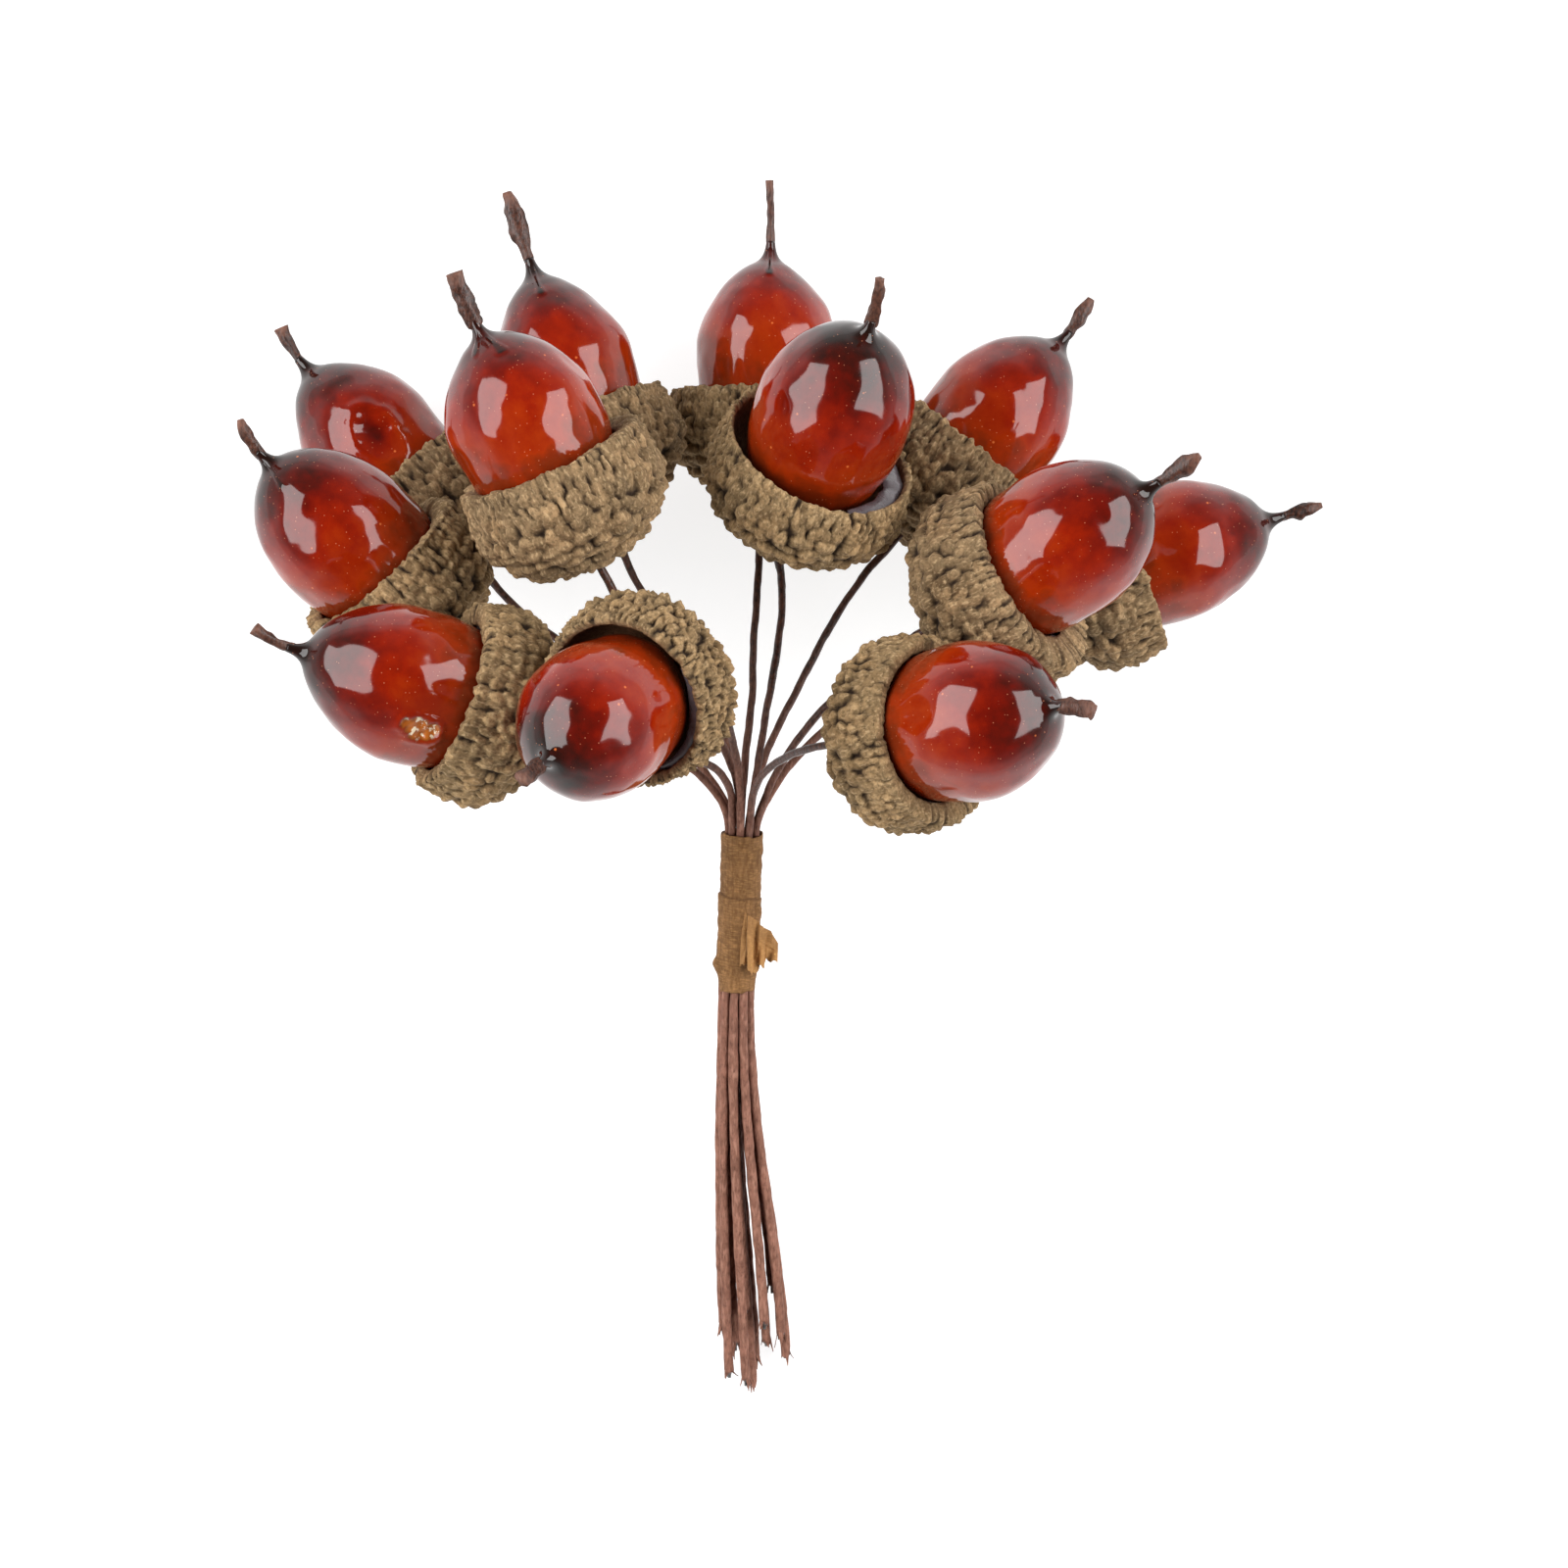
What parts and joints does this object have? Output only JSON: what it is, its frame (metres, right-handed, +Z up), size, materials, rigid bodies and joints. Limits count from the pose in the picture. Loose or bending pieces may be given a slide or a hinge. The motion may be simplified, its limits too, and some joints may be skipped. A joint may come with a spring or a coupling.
{
  "type": "acorn bunch",
  "caption": "Tied bunch of lacquered acorns in natural scaly cups, on paper-wrapped wire stems bound with floral tape, lying on its side.",
  "frame": {"origin": "on the table, under the middle of the bunch's bounding box", "axes": "+Z up from the table it lies on, +Y from the cut wire ends to the acorns, +X to the right seen from above with the acorns at the top"},
  "size_m": [0.1416, 0.1636, 0.086],
  "materials": {
    "nut_lacquer": "gloss",
    "cap_scales": "matte",
    "stem_paper": "matte",
    "glue": "satin",
    "tape_crepe": "matte"
  },
  "bodies": {
    "root": {"nut_01": "nut_lacquer", "cap_01": "cap_scales", "stem_wire_01": "stem_paper", "glue_bead_01": "glue", "nut_02": "nut_lacquer", "cap_02": "cap_scales", "stem_wire_02": "stem_paper", "glue_bead_02": "glue", "nut_03": "nut_lacquer", "cap_03": "cap_scales", "stem_wire_03": "stem_paper", "glue_bead_03": "glue", "nut_04": "nut_lacquer", "cap_04": "cap_scales", "stem_wire_04": "stem_paper", "glue_bead_04": "glue", "nut_05": "nut_lacquer", "cap_05": "cap_scales", "stem_wire_05": "stem_paper", "glue_bead_05": "glue", "nut_06": "nut_lacquer", "cap_06": "cap_scales", "stem_wire_06": "stem_paper", "glue_bead_06": "glue", "nut_07": "nut_lacquer", "cap_07": "cap_scales", "stem_wire_07": "stem_paper", "glue_bead_07": "glue", "nut_08": "nut_lacquer", "cap_08": "cap_scales", "stem_wire_08": "stem_paper", "glue_bead_08": "glue", "nut_09": "nut_lacquer", "cap_09": "cap_scales", "stem_wire_09": "stem_paper", "glue_bead_09": "glue", "nut_10": "nut_lacquer", "cap_10": "cap_scales", "stem_wire_10": "stem_paper", "glue_bead_10": "glue", "nut_11": "nut_lacquer", "cap_11": "cap_scales", "stem_wire_11": "stem_paper", "glue_bead_11": "glue", "nut_12": "nut_lacquer", "cap_12": "cap_scales", "stem_wire_12": "stem_paper", "glue_bead_12": "glue", "binding_tape": "tape_crepe"}
  },
  "joints": []
}
